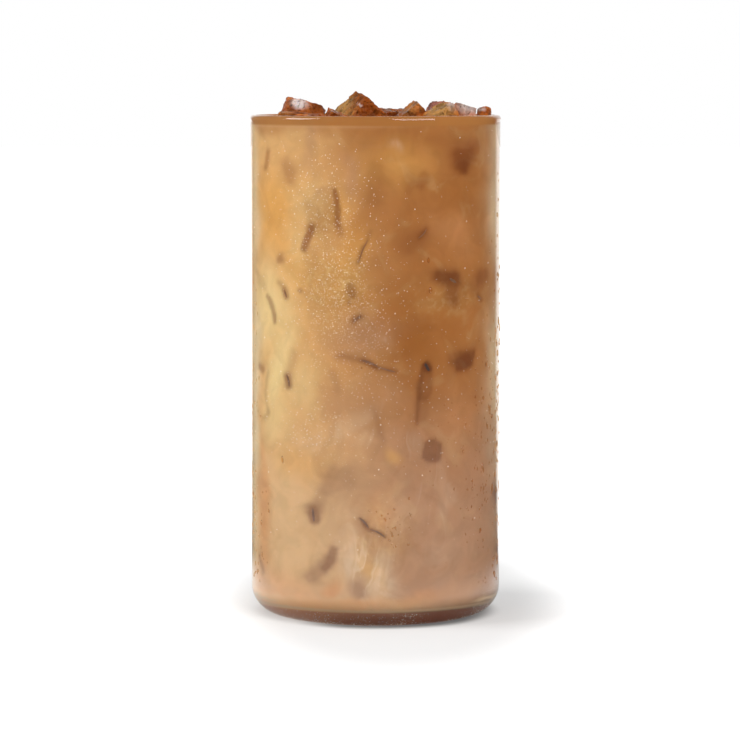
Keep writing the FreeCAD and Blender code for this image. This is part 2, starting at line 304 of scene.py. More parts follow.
class DrinkSettings(PropertyGroup):
    step: length("Step", "Distance between the points of the drink's wall", 0.6)
    into_wall: length("Into the wall", "How far the drink reaches into the glass", 0.15)
    into_floor: length("Into the floor", "How far the drink reaches into the base", 0.8)
    block_proud: length("Block proud", "How far sunk ice stands out of the drink's wall", 0.06)
    block_depth: length("Block depth", "How far sunk ice reaches into the drink", 4.5)
    block_widening: length("Block widening", "How much wider sunk ice is at its back", 3.2)
    meniscus_rise: length("Meniscus rise", "How far the drink climbs the glass", 0.3)
    film: length("Film", "Coffee that clings to the rim above the drink", 0.1)
    meniscus_reach: length("Meniscus reach", "How far in from the glass the climb starts", 1.2)
    band: length("Band", "Height of the clearer coffee at the top of the drink", 2.2)
    amber: colour("Amber", "Strong coffee, high in the glass", "#A66D3C")
    cream: colour("Cream", "Coffee with more milk, high in the glass", "#DEB27A")
    rosy: colour("Rosy", "Strong coffee, well mixed, low in the glass", "#B0876A")
    sand: colour("Sand", "Milkier coffee, low in the glass", "#DDBA90")
    pale: colour("Pale", "Where cream has gathered", "#E8CE98")
    golden: colour("Golden", "Where the drink is clearest in the light", "#DFA95E")
    olive: colour("Olive", "Milky coffee over sunk ice", "#BE9258")
    caramel: colour("Caramel", "Where little milk has reached", "#985E2A")
    # Partly painted light: a warm tinge, and also the lighter band at the drink's lowest edge.
    blush_and_painted_light: colour("Blush", "Warm tinge where the drink is thin over the ice", "#D29868")
    # Painted reflection: the pale sheen at the sides of the glass, painted on the drink.
    painted_side_sheen: colour("Haze", "Milk behind the dew at the sides of the glass", "#ECD8B4")
    milk: colour("Milk", "Wisps of milk that haven't mixed in", "#E8D2B8")
    ice_high: colour("Ice, high", "Ice seen through the drink, near the rim", "#8E5E34")
    ice_low: colour("Ice, low", "Ice seen through the drink, near the base", "#86706A")
    ice_dark: colour("Ice, darkest", "A sharp corner of ice against the glass", "#4A3830")
    shade_high: colour("Shade high", "What ice takes from the drink's colour, high", "#C4AEAA")
    shade_low: colour("Shade low", "What ice takes from the drink's colour, low", "#AEA0AA")
    surface: colour("Surface", "Coffee at the top, where the milk has sunk", "#AA713C")
    # Painted light: the drink's lowest part made lighter and warmer, as if lit through the base.
    painted_glow: colour("Glow", "Lowest part of the drink, lit through the base", "#FFC88E")
    # Partly painted light: the line round the floor and the glints at its sides are painted
    # highlights.
    pale_line_and_glint: colour("Pale line", "Edge of the milk under the clearer coffee", "#E6C296")
    # Partly painted light: the underside's own colour, made redder for the dim light that
    # reaches it through the base.
    floor: colour("Floor", "Underside of the drink, over the thick base", "#D08460")


class IceSettings(PropertyGroup):
    voxel: length("Voxel", "Grain of the ice's mesh", 0.32)
    pocket_gap: length("Pocket gap", "How far the drink reaches into the ice", 0.25)
    roughness: length("Roughness", "Depth of the melted hollows", 0.35)
    melt: colour("Melt", "Clear ice with coffee on it", "#F6E6D2")
    film: colour("Film", "Coffee that clings to the ice", "#A65C24")
    tan: colour("Tan", "Milky coffee dried on a rough face", "#9E7642")
    amber: colour("Amber", "Strong coffee in a hollow", "#783C14")
    violet: colour("Violet", "Coffee under clouded ice", "#8A5A50")
    # Partly painted light: clouded ice, and in its smallest patches painted glints.
    frost_and_glint: colour("Frost", "Clouded ice, washed clean", "#C8BEBA")
    inside: colour("Inside", "What light takes on inside the ice", "#C98A4A")


class DewSettings(PropertyGroup):
    seed: whole_number("Seed", "Seed of the scattered drops", 7)
    mist: whole_number("Mist", "Fine drops on the glass", 4400)
    drops: whole_number("Drops", "Larger drops and runs on the glass", 620)
    bubbles: whole_number("Bubbles", "Bubbles on the drink", 150)
    mist_tint: colour("Mist tint", "Fine drops, which scatter the light", "#F6EAD8")
    drop_tint: colour("Drop tint", "Larger drops", "#F4DCC0")
    bubble_tint: colour("Bubble tint", "Bubbles on the drink", "#E9CDA6")


class StageSettings(PropertyGroup):
    camera_distance: length("Camera distance", "From the glass's axis to the camera", 980)
    camera_height: length("Camera height", "Camera over the table", 156.4)
    camera_side: length("Camera side", "Camera to the left of the glass's axis", 1.59)
    pitch: number("Pitch", "Camera below level", math.radians(5.03), "ANGLE")
    lens: number("Lens", "Focal length on a 36 mm sensor, in mm", 165.0)
    ambient: number("Ambient", "Plain light from all round, 1 is white", 0.61)
    dark_side: number("Dark side", "What glass reflects of the studio's dark side", 0.15)
    backdrop_turn: number(
        "Backdrop turn", "How far right of straight behind it stands", math.radians(6), "ANGLE"
    )
    paper: number("Paper", "How much light the paper by the foot gives back", 0.59)
    # Painted light: the paper under the foot in the colour of light that has come through the
    # drink.
    painted_drink_light: colour("Painted drink light", "Paper under the foot, in light that the drink colours", "#BC723C")
    key: number("Key", "Soft box at the left", 10.9, "POWER")
    key_size: length("Key size", "Side of the left soft box", 700)
    key_place: vector(
        "Key place", "Middle of the left soft box", (-1.11, -0.2, 0.75), "TRANSLATION"
    )
    fill: number("Fill", "Soft box at the right", 10.9, "POWER")
    fill_size: length("Fill size", "Side of the right soft box", 800)
    fill_place: vector(
        "Fill place", "Middle of the right soft box", (0.64, -0.875, 0.5), "TRANSLATION"
    )


GROUPS = {
    "coffee_tumbler": TumblerSettings,
    "coffee_drink": DrinkSettings,
    "coffee_ice": IceSettings,
    "coffee_dew": DewSettings,
    "coffee_stage": StageSettings,
}


# ---- shapes ----


def arc(centre, radius, first, last, steps):
    """Points of a (radius, height) profile along an arc, both ends included, in degrees."""
    angles = [math.radians(first + (last - first) * i / steps) for i in range(steps + 1)]
    return [(centre[0] + radius * math.cos(a), centre[1] + radius * math.sin(a)) for a in angles]


def climb(start, end, step):
    """Points between two profile points, about step apart, both ends left out."""
    count = max(1, round((Vector(end) - Vector(start)).length / step))
    return [Vector(start).lerp(Vector(end), i / count).to_tuple() for i in range(1, count)]


def lathe(profile, segments):
    """Spins a profile whose ends are on the axis into a closed shell."""
    bm = bmesh.new()
    points = [bm.verts.new((radius, 0, height)) for radius, height in profile]
    edges = [bm.edges.new(pair) for pair in zip(points, points[1:])]
    bmesh.ops.spin(
        bm,
        geom=points + edges,
        cent=(0, 0, 0),
        axis=(0, 0, 1),
        angle=math.tau,
        steps=segments,
        use_merge=True,
    )
    bmesh.ops.remove_doubles(bm, verts=bm.verts, dist=WELD)
    bmesh.ops.recalc_face_normals(bm, faces=bm.faces)
    return bm


def placed(mesh, name, materials):
    """Makes a smooth-shaded object of a mesh, with its materials."""
    for material in materials:
        mesh.materials.append(material)
    mesh.name = name
    mesh.shade_smooth()
    piece = bpy.data.objects.new(name, mesh)
    bpy.context.scene.collection.objects.link(piece)
    return piece


def as_mesh(bm):
    """Turns a bmesh into a mesh, and frees it."""
    mesh = bpy.data.meshes.new("shape")
    bm.to_mesh(mesh)
    bm.free()
    return mesh


def finished(bm, name, materials, sharp_angle=180):
    """Makes a smooth-shaded object of a bmesh, with edges past that many degrees kept sharp."""
    piece = placed(as_mesh(bm), name, materials)
    if sharp_angle < 180:
        piece.data.set_sharp_from_angle(angle=math.radians(sharp_angle))
    return piece


def join_into(whole, part):
    """Adds one bmesh to another, and frees it."""
    mesh = as_mesh(part)
    whole.from_mesh(mesh)
    bpy.data.meshes.remove(mesh)


def applied(piece):
    """The mesh that a piece's modifiers make of it; they are then removed."""
    graph = bpy.context.evaluated_depsgraph_get()
    result = bpy.data.meshes.new_from_object(piece.evaluated_get(graph))
    piece.modifiers.clear()
    return result


def on_wall(round_deg, height, radius):
    """The point that far round to the right of the front, in metres."""
    angle = math.radians(round_deg)
    return Vector((radius * math.sin(angle), -radius * math.cos(angle), height))


def round_from(around, middle):
    """How far round the wall that is from the middle, in millimetres to the right."""
    return np.radians((around - middle + 180) % 360 - 180) * BORE_RADIUS / MM


def wall_places(co):
    """How far round each point lies, in degrees, its height in millimetres and its radius."""
    around = np.degrees(np.arctan2(co[:, 0], -co[:, 1]))
    return around, co[:, 2] / MM, np.hypot(co[:, 0], co[:, 1])


def coordinates(mesh):
    co = np.empty(len(mesh.vertices) * 3, np.float32)
    mesh.vertices.foreach_get("co", co)
    return co.reshape(-1, 3)


def set_attribute(mesh, name, values):
    attribute = mesh.attributes.new(name, "FLOAT", "POINT")
    attribute.data.foreach_set("value", np.asarray(values, np.float32))


def drifted(co, grain, seed):
    """A smooth random offset at each point, about one at most, over that many millimetres."""
    shift = Vector((seed * 3.7, seed * 1.3, seed * 5.1))
    return np.array([noise.noise_vector(Vector(p) / (grain * MM) + shift) for p in co])


def eased(values, low, high):
    """0 at low, 1 at high, and a smooth step between them."""
    t = np.clip((values - low) / (high - low), 0, 1)
    return t * t * (3 - 2 * t)


def copies(shape, poses):
    """One mesh of a shape's closed mesh at every pose."""
    co = np.c_[coordinates(shape), np.ones(len(shape.vertices))]
    faces = np.array([face.vertices[:] for face in shape.polygons])
    places = np.array([np.array(pose) for pose in poses])
    points = np.einsum("pij,vj->pvi", places, co)[..., :3].reshape(-1, 3)
    corners = (faces[None] + len(co) * np.arange(len(poses))[:, None, None]).reshape(-1, 3)
    mesh = bpy.data.meshes.new("copies")
    mesh.from_pydata(points.tolist(), [], corners.tolist())
    return mesh


# ---- materials ----


SMOOTH = {"interpolation_type": "SMOOTHSTEP"}  # for a MapRange node
COLOURS = {"out": 2, "data_type": "RGBA"}  # for a Mix node
TIMES = {**COLOURS, "blend_type": "MULTIPLY"}


def add(tree, kind, inputs=(), out=0, **settings):
    """Adds a node, sets it, gives its inputs values or links, and returns one of its outputs.

    The inputs are in the order of the node's own, or a dict by their names or numbers.
    """
    made = tree.nodes.new("ShaderNode" + kind)
    for name, value in settings.items():
        setattr(made, name, value)
    for name, value in inputs.items() if isinstance(inputs, dict) else enumerate(inputs):
        if isinstance(value, bpy.types.NodeSocket):
            tree.links.new(value, made.inputs[name])
        else:
            made.inputs[name].default_value = value
    return made.outputs[out] if made.outputs else None


def blank_material(name):
    material = bpy.data.materials.new(name)
    material.use_nodes = True
    material.node_tree.nodes.clear()
    return material, material.node_tree


def per(millimetres):
    """The scale of a texture whose pattern is that coarse."""
    return 1 / (millimetres * MM)


def painted(tree, base, coats, **blend):
    """Coats of colour over base, each as thick as the attribute of its name says."""
    for name, coat in coats.items():
        amount = add(tree, "Attribute", out="Fac", attribute_name=name)
        base = add(tree, "Mix", {0: amount, 6: base, 7: coat}, **COLOURS, **blend)
    return base


def lets_lamps_through(tree, shader, tint, **volume):
    """Ends a clear material: a shadow ray passes it, so that lamps reach what is behind."""
    ray = add(tree, "LightPath", out="Is Shadow Ray")
    clear = add(tree, "BsdfTransparent", {"Color": tint})
    surface = add(tree, "MixShader", (ray, shader, clear))
    add(tree, "OutputMaterial", {"Surface": surface, **volume})


def soda_lime_glass(settings):
    """Fire-polished soda-lime glass: clear, and gently wavy where it was drawn."""
    material, tree = blank_material("soda-lime glass, fire-polished")
    place = add(tree, "TexCoord", out="Object")
    waves = add(tree, "TexNoise", {"Vector": place, "Scale": per(22), "Detail": 1.0})
    bump = add(tree, "Bump", {"Strength": 0.05, "Distance": 0.4 * MM, "Height": waves})
    look = {"Base Color": settings.tint, "Roughness": 0.0, "IOR": 1.5, "Normal": bump}
    glass = add(tree, "BsdfPrincipled", {**look, "Transmission Weight": 1.0})
    lets_lamps_through(tree, glass, settings.tint)
    return material


def milky_coffee(settings):
    """Cold brew with milk, seen through the glass: light bleeds a little way into it."""
    material, tree = blank_material("milky coffee, against glass")
    place = add(tree, "TexCoord", out="Object")
    high = painted(tree, settings.amber, {"creamy": settings.cream})
    low = painted(tree, settings.rosy, {"creamy": settings.sand})
    base = painted(tree, high, {"settled": low})
    base = painted(tree, base, {name: getattr(settings, name) for name in TINTS})
    # Cream and coffee drift past each other, 11 mm from one to the next.
    drift = {"Vector": place, "Scale": per(11), "Detail": 4.0, "Distortion": 1.0}
    drift = add(tree, "TexNoise", drift)
    for low, high, tint in ((0.52, 0.74, settings.pale), (0.46, 0.30, settings.caramel)):
        amount = add(tree, "MapRange", (drift, low, high, 0.0, 0.1), **SMOOTH)
        base = add(tree, "Mix", {0: amount, 6: base, 7: tint}, **COLOURS)
    # Milk hangs in folds 17 mm apart, drawn out downwards, with a bright edge to each.
    folds = add(tree, "Mapping", {"Vector": place, "Scale": (1, 1, 0.55)})
    folds = {"Vector": folds, "Scale": per(17), "Detail": 3.0, "Distortion": 1.8}
    folds = add(tree, "TexNoise", folds)
    ridge = add(tree, "Math", (folds, 0.5), operation="SUBTRACT")
    ridge = add(tree, "Math", (ridge,), operation="ABSOLUTE")
    wisp = add(tree, "MapRange", (ridge, 0.0, 0.09, 0.6, 0.0), **SMOOTH)
    veil = add(tree, "MapRange", (folds, 0.40, 0.75, 0.15, 0.8), **SMOOTH)
    veil = add(tree, "Math", (veil, wisp), operation="MAXIMUM")
    milk = add(tree, "Attribute", out="Fac", attribute_name="milk")
    milk = add(tree, "Math", (milk, veil), operation="MULTIPLY")
    base = add(tree, "Mix", {0: milk, 6: base, 7: settings.milk}, **COLOURS)
    # It is a little uneven all over, 8 mm from light to dark.
    faint = {"Vector": place, "Scale": per(8), "Detail": 5.0, "Distortion": 1.2}
    faint = add(tree, "TexNoise", faint)
    faint = add(tree, "MapRange", (faint, 0.3, 0.7, 0.93, 1.05), **SMOOTH)
    base = add(tree, "Mix", {0: 1.0, 6: base, 7: faint}, **TIMES)
    # Over the sunk ice it is thin, and finely mottled.
    fine = add(tree, "TexNoise", {"Vector": place, "Scale": per(1.4), "Detail": 3.0})
    fine = add(tree, "MapRange", (fine, 0.45, 0.75, 0.0, 0.5), **SMOOTH)
    thin = add(tree, "Attribute", out="Fac", attribute_name="olive")
    thin = add(tree, "Math", (thin, fine), operation="MULTIPLY")
    base = add(tree, "Mix", {0: thin, 6: base, 7: settings.pale}, **COLOURS)
    shade = painted(tree, settings.shade_low, {"height": settings.shade_high})
    base = painted(tree, base, {"ice": shade}, blend_type="MULTIPLY")
    base = painted(tree, base, {name: getattr(settings, name) for name in EDGES})
    look = {"Base Color": base, "Roughness": 0.6, "Specular IOR Level": 0.0}
    bleed = {"Subsurface Radius": (1.0, 0.6, 0.35), "Subsurface Scale": 1.0 * MM}
    liquid = add(tree, "BsdfPrincipled", {**look, "Subsurface Weight": 0.25, **bleed})
    add(tree, "OutputMaterial", {"Surface": liquid})
    return material


def coffee_surface(settings):
    """The drink's open top: wet coffee that the milk has sunk out of, dulled by fine froth."""
    material, tree = blank_material("milky coffee, open surface")
    place = add(tree, "TexCoord", out="Object")
    cloud = {"Vector": place, "Scale": per(12), "Detail": 4.0, "Distortion": 1.5}
    cloud = add(tree, "TexNoise", cloud)
    streak = add(tree, "MapRange", (cloud, 0.40, 0.70), **SMOOTH)
    base = {0: streak, 6: settings.surface, 7: settings.amber}
    base = add(tree, "Mix", base, **COLOURS)
    ripple = add(tree, "TexNoise", {"Vector": place, "Scale": per(4), "Detail": 3.0})
    bump = add(tree, "Bump", {"Strength": 0.4, "Distance": 0.2 * MM, "Height": ripple})
    look = {"Base Color": base, "Roughness": 0.22, "Specular IOR Level": 0.2, "Normal": bump}
    liquid = add(tree, "BsdfPrincipled", look)
    add(tree, "OutputMaterial", {"Surface": liquid})
    return material


def wet_ice(settings):
    """Broken ice, wet with coffee: clear where it is clean, brown where the drink clings."""
    material, tree = blank_material("ice, broken and wet with coffee")
    place = add(tree, "TexCoord", out="Object")
    warp = {"Vector": place, "Scale": per(3), "Detail": 2.0}
    warp = add(tree, "TexNoise", warp, out="Color")
    warp = add(tree, "VectorMath", {0: warp, "Scale": 1.6 * MM}, operation="SCALE")
    broken = add(tree, "VectorMath", (place, warp), operation="ADD")
    chips = add(tree, "TexVoronoi", {"Vector": broken, "Scale": per(2.2)}).node.outputs
    pits = add(tree, "TexNoise", {"Vector": place, "Scale": per(0.8), "Detail": 4.0})
    relief = add(tree, "Math", (chips["Distance"], pits), operation="ADD")
    bump = add(tree, "Bump", {"Strength": 0.8, "Distance": 0.5 * MM, "Height": relief})
    look = {"Base Color": settings.melt, "Roughness": 0.05, "IOR": 1.31, "Normal": bump}
    clear = add(tree, "BsdfPrincipled", {**look, "Transmission Weight": 1.0})
    # Coffee clings to it in blotches 3.5 mm across, over chips of different shades.
    blotches = add(tree, "TexNoise", {"Vector": place, "Scale": per(3.5), "Detail": 5.0})
    blotches = add(tree, "MapRange", (blotches, 0.35, 0.65), **SMOOTH)
    base = add(tree, "Mix", {0: blotches, 6: settings.film, 7: settings.amber}, **COLOURS)
    base = painted(tree, base, {name: getattr(settings, name) for name in FINISHES})
    shade = add(tree, "SeparateXYZ", (chips["Color"],))
    for source, bounds in ((shade, (0.0, 1.0, 0.66, 1.25)), (pits, (0.32, 0.46, 0.45, 1.0))):
        shade = add(tree, "MapRange", (source, *bounds), **SMOOTH)
        base = add(tree, "Mix", {0: 1.0, 6: base, 7: shade}, **TIMES)
    look = {"Base Color": base, "Roughness": 0.15, "IOR": 1.34, "Normal": bump}
    dull = {"Specular IOR Level": 0.08, "Subsurface Weight": 0.3}
    bleed = {"Subsurface Radius": (1.0, 0.5, 0.25), "Subsurface Scale": 1.5 * MM}
    film = add(tree, "BsdfPrincipled", {**look, **dull, **bleed})
    cover = add(tree, "TexNoise", {"Vector": place, "Scale": per(6), "Detail": 4.0})
    cover = add(tree, "MapRange", (cover, 0.36, 0.55, 0.9, 1.0), **SMOOTH)
    both = add(tree, "MixShader", (cover, clear, film))
    inside = {"Color": settings.inside, "Density": 70.0}
    inside = add(tree, "VolumeAbsorption", inside)
    lets_lamps_through(tree, both, settings.melt, Volume=inside)
    return material


def dark_ice(settings):
    """Ice sunk in the drink, where an edge of it touches the glass."""
    material, tree = blank_material("ice, sunk in coffee")
    place = add(tree, "TexCoord", out="Object")
    base = {"height": settings.ice_high, "dark": settings.ice_dark}
    base = painted(tree, settings.ice_low, base)
    grain = add(tree, "TexNoise", {"Vector": place, "Scale": per(1.5), "Detail": 3.0})
    grain = add(tree, "MapRange", (grain, 0.3, 0.7, 0.8, 1.15), **SMOOTH)
    base = add(tree, "Mix", {0: 1.0, 6: base, 7: grain}, **TIMES)
    look = {"Base Color": base, "Roughness": 0.45, "Specular IOR Level": 0.1}
    solid = add(tree, "BsdfPrincipled", look)
    add(tree, "OutputMaterial", {"Surface": solid})
    return material


def water(name, tint, clearness, roughness):
    """Small drops of water: clear, or milky where they are too fine to see through."""
    material, tree = blank_material(name)
    look = {"Base Color": tint, "Roughness": roughness, "IOR": 1.33}
    drop = add(tree, "BsdfPrincipled", {**look, "Transmission Weight": clearness})
    lets_lamps_through(tree, drop, tint)
    return material


# ---- pieces ----


class COFFEE_OT_tumbler(Operator):
    """Adds the straight tumbler: punt, heel, wall and fire-polished rim bead"""

    bl_idname = "iced_coffee.tumbler"
    bl_label = "Tumbler"

    def execute(self, context):
        s = context.scene.coffee_tumbler
        half_wall = (OUTER_RADIUS - BORE_RADIUS) / 2
        bead = half_wall + s.bead_swell
        bead_centre = (OUTER_RADIUS - half_wall, RIM - bead)
        # A hollow on each side leads from the wall to the round bead.
        across = half_wall + s.bead_blend
        down = math.sqrt((bead + s.bead_blend) ** 2 - across**2)
        turn = math.degrees(math.atan2(down, across))
        hollow = bead_centre[1] - down
        punt_curve = (s.punt_radius**2 + s.punt_rise**2) / (2 * s.punt_rise)
        punt_half = math.degrees(math.asin(s.punt_radius / punt_curve))
        corner_centre = (BORE_RADIUS - s.floor_corner, FLOOR + s.floor_corner)
        profile = [
            *arc((0, s.punt_rise - punt_curve), punt_curve, 90, 90 - punt_half, 8),
            *arc((OUTER_RADIUS - s.heel, s.heel), s.heel, -90, 0, 20),
            *climb((OUTER_RADIUS, s.heel), (OUTER_RADIUS, hollow), s.wall_step),
            *arc((bead_centre[0] + across, hollow), s.bead_blend, 180, 180 - turn, 6)[:-1],
            *arc(bead_centre, bead, -turn, 180 + turn, 28),
            *arc((bead_centre[0] - across, hollow), s.bead_blend, turn, 0, 6)[1:],
            *climb((BORE_RADIUS, hollow), (BORE_RADIUS, corner_centre[1]), s.wall_step),
            *arc(corner_centre, s.floor_corner, 0, -90, 16),
            (0, FLOOR),
        ]
        shell = lathe(profile, s.segments)
        piece = finished(shell, "tumbler", [soda_lime_glass(s)], sharp_angle=40)
        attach(piece, BODY)
        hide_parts("glass")
        return {"FINISHED"}


def mark_run(mark):
    """How far a mark goes to the right and up, and how long it is, in millimetres."""
    across = math.radians(mark.to_round - mark.round) * BORE_RADIUS / MM
    up = mark.to_height - mark.height
    return across, up, math.hypot(across, up)


def along_mark(mark, t, aside):
    """The place that far along a mark, in degrees round and millimetres of height."""
    across, up, reach = mark_run(mark)
    bow = aside + mark.bend * 4 * t * (1 - t)
    x = across * t - up / reach * bow
    y = up * t + across / reach * bow
    return mark.round + math.degrees(x * MM / BORE_RADIUS), mark.height + y


def sunk_block(mark, seed, s):
    """A broken block of ice whose blunt edge lies along a mark and touches the glass."""
    bm = bmesh.new()
    bmesh.ops.create_cube(bm, size=2)
    bmesh.ops.subdivide_edges(bm, edges=bm.edges, cuts=7, use_grid_fill=True)
    reach = mark_run(mark)[2]
    widening = s.block_widening / MM
    for vert in bm.verts:
        along, aside, out = vert.co
        deep = (1 - out) / 2
        taper = max(0.0, 1 - abs(along) ** 3) ** 0.5 * (1 - deep) + deep
        rough = noise.noise_vector(Vector((along * reach, aside * 2, seed * 7.1)) * 0.9)
        width = mark.edge * taper * (1 + 0.5 * rough.x) + widening * deep
        t = 0.5 + along * (0.5 + deep * 1.5 / reach)
        round_deg, height = along_mark(mark, t, aside * width + 0.25 * mark.edge * rough.y)
        sunk = (s.block_depth + rough.z * MM) * deep
        radius = BORE_RADIUS + s.into_wall + s.block_proud - sunk
        vert.co = on_wall(round_deg, height * MM, radius)
    return bm


def scattered_marks(seed):
    """Marks of more ice against the sides and the back, a row of six each 16 mm up."""
    draw = random.Random(seed)
    marks = []
    for row in range(8):
        for column in range(6):
            start = 88 + 34 * column + draw.uniform(-12, 12)
            height = 16 + 16 * row + draw.uniform(-6, 6)
            lean = math.radians(draw.uniform(20, 160))
            reach = draw.uniform(1, 9)
            end = start + math.degrees(reach * math.cos(lean) * MM / BORE_RADIUS)
            to_height = height + reach * math.sin(lean)
            ranges = ((-0.6, 0.6), (0.3, 1.2), (0.8, 2.2), (0.35, 0.85))
            bend, wide, soft, strength = (draw.uniform(*ends) for ends in ranges)
            edge = draw.choice((0, 0, 0.2, 0.35))
            marks.append(Mark(start, height, end, to_height, bend, wide, soft, strength, edge))
    return marks


ALL_MARKS = MARKS + scattered_marks(11)


class COFFEE_OT_sunk_ice(Operator):
    """Adds the ice that is sunk in the drink, where an edge of it touches the glass"""

    bl_idname = "iced_coffee.sunk_ice"
    bl_label = "Sunk ice"

    def execute(self, context):
        s = context.scene.coffee_drink
        whole = bmesh.new()
        touching = [mark for mark in ALL_MARKS if mark.edge]
        for number, mark in enumerate(touching):
            join_into(whole, sunk_block(mark, number, s))
        bmesh.ops.recalc_face_normals(whole, faces=whole.faces)
        piece = finished(whole, "sunk_ice", [dark_ice(s)], sharp_angle=50)
        co = coordinates(piece.data)
        set_attribute(piece.data, "height", co[:, 2] / RIM)
        dark = [eased(mark.strength, 0.86, 1.0) for mark in touching]
        set_attribute(piece.data, "dark", np.repeat(dark, len(co) // len(touching)))
        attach(piece, BODY)
        return {"FINISHED"}


def merged_copy(node):
    """A bmesh of a CAD node, with its loose triangles merged."""
    bm = bmesh.new()
    bm.from_mesh(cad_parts[node].data)
    bmesh.ops.remove_doubles(bm, verts=bm.verts, dist=2 * WELD)
    return bm


class COFFEE_OT_surface_ice(Operator):
    """Adds the broken ice that stands out of the drink, rounded and pitted by melting"""

    bl_idname = "iced_coffee.surface_ice"
    bl_label = "Surface ice"

    def execute(self, context):
        s = context.scene.coffee_ice
        material = wet_ice(s)
        for name in ICE_NODES:
            piece = finished(merged_copy(name), name.replace("ice_", "broken_ice_"), [material])
            remesh = piece.modifiers.new("grain", "REMESH")
            remesh.mode = "VOXEL"
            remesh.voxel_size = s.voxel
            remesh.use_smooth_shade = True
            grained = applied(piece)
            bm = bmesh.new()
            bm.from_mesh(grained)
            bpy.data.meshes.remove(grained)
            every_way = {"use_axis_x": True, "use_axis_y": True, "use_axis_z": True}
            bmesh.ops.smooth_vert(bm, verts=bm.verts, factor=0.5, **every_way)
            bm.normal_update()
            # Broad and small hollows, chips about 2 mm across, and fine pits.
            for vert in bm.verts:
                at = vert.co / MM
                hollow = noise.noise(at * 0.25) * 0.7 + noise.noise(at * 0.8) * 0.5
                chip = noise.cell(at * 0.45 + 0.6 * noise.noise_vector(at * 0.3))
                pit = max(0.0, noise.noise(at * 1.6 + Vector((31, 0, 0))) - 0.1)
                vert.co -= vert.normal * s.roughness * (0.5 + hollow + 0.5 * chip + pit)
            bm.to_mesh(piece.data)
            bm.free()
            piece.data.shade_smooth()
            self.finish_patches(piece.data, name.removeprefix("ice_"))
            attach(piece, BODY)
            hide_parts(name)
        return {"FINISHED"}

    def finish_patches(self, mesh, name):
        """Marks how much of each finish every point of a piece takes."""
        co = coordinates(mesh)
        ragged = drifted(co, 1.6, 3)
        x = co[:, 0] / MM + 0.7 * ragged[:, 0]
        z = co[:, 2] / MM + 0.7 * ragged[:, 1]
        for finish in FINISHES:
            amount = np.zeros(len(co))
            for patch in (p for p in PATCHES if p.piece == name and p.finish == finish):
                far = ((x - patch.x) / patch.across) ** 2 + ((z - patch.height) / patch.up) ** 2
                amount = np.maximum(amount, patch.strength * np.exp(-(far**1.5)))
            set_attribute(mesh, finish, amount)


def pocket_cutter(gap):
    """The surface ice, a little smaller, joined into one cutter."""
    whole = bmesh.new()
    for name in ICE_NODES:
        bm = merged_copy(name)
        bm.normal_update()
        for vert in bm.verts:
            vert.co -= vert.normal * gap * vert.calc_shell_factor()
        join_into(whole, bm)
    return finished(whole, "cutter", [])


def with_pockets(piece, cutter):
    """Cuts the cutter out of piece, and removes the cutter."""
    cut = piece.modifiers.new("pockets", "BOOLEAN")
    cut.operation = "DIFFERENCE"
    cut.solver = "MANIFOLD"
    cut.object = cutter
    piece.data = applied(piece)
    bpy.data.objects.remove(cutter)


def gather(co):
    """How much of each colour gathers at each point of the drink, in drifting clouds."""
    around, height, _ = wall_places(co)
    # The clouds wander by 5 mm over 22 mm, and by half of that over 8 mm.
    ragged = 5 * drifted(co, 22, 0) + 2.5 * drifted(co, 8, 1)
    around = around + np.degrees(ragged[:, 0] * MM / BORE_RADIUS)
    height = height + ragged[:, 1]
    # The drink is creamier to the left, less so near the top, and settled low down.
    creamy = eased(np.sin(np.radians(around)), 0.42, -0.95)
    creamy = creamy * (1 - 0.6 * eased(height, 137, 142))
    amounts = {"creamy": creamy, "settled": eased(height, 82, 24)}
    amounts.update({name: np.zeros(len(co)) for name in (*TINTS, "milk")})
    for cloud in CLOUDS:
        lean = math.radians(cloud.turn)
        x = round_from(around, cloud.round)
        y = height - cloud.height
        across = (x * math.cos(lean) + y * math.sin(lean)) / cloud.across
        up = (y * math.cos(lean) - x * math.sin(lean)) / cloud.up
        amount = cloud.strength * np.exp(-((across**2 + up**2) ** 1.3))
        amounts[cloud.colour] = np.maximum(amounts[cloud.colour], amount)
    return amounts


def ice_showing(co):
    """How much of the ice behind the wall shows at each point of it."""
    around, height, radius = wall_places(co)
    # The marks' outlines wander by half a millimetre over 4 mm, and half of that over 1.5.
    ragged = 0.5 * drifted(co, 4, 2) + 0.25 * drifted(co, 1.5, 4)
    around = around + np.degrees(ragged[:, 0] * MM / BORE_RADIUS)
    height = height + ragged[:, 1]
    shown = np.zeros(len(co))
    for mark in ALL_MARKS:
        across, up, reach = mark_run(mark)
        x = round_from(around, mark.round)
        y = height - mark.height
        along = (x * across + y * up) / reach**2
        t = np.clip(along, 0, 1)
        aside = (y * across - x * up) / reach - mark.bend * 4 * t * (1 - t)
        pointed = 0.8 if mark.wide < 0.4 else 0.35
        wide = mark.wide * (1 - pointed * np.abs(2 * t - 1) ** 2.5)
        beyond = np.maximum(0, np.abs(aside) - wide)
        beyond = np.hypot(beyond, (along - t) * reach) / mark.soft
        shown = 1 - (1 - shown) * (1 - mark.strength * np.exp(-(beyond**1.6)))
    shown[radius < BORE_RADIUS - 4 * MM] = 0
    return shown


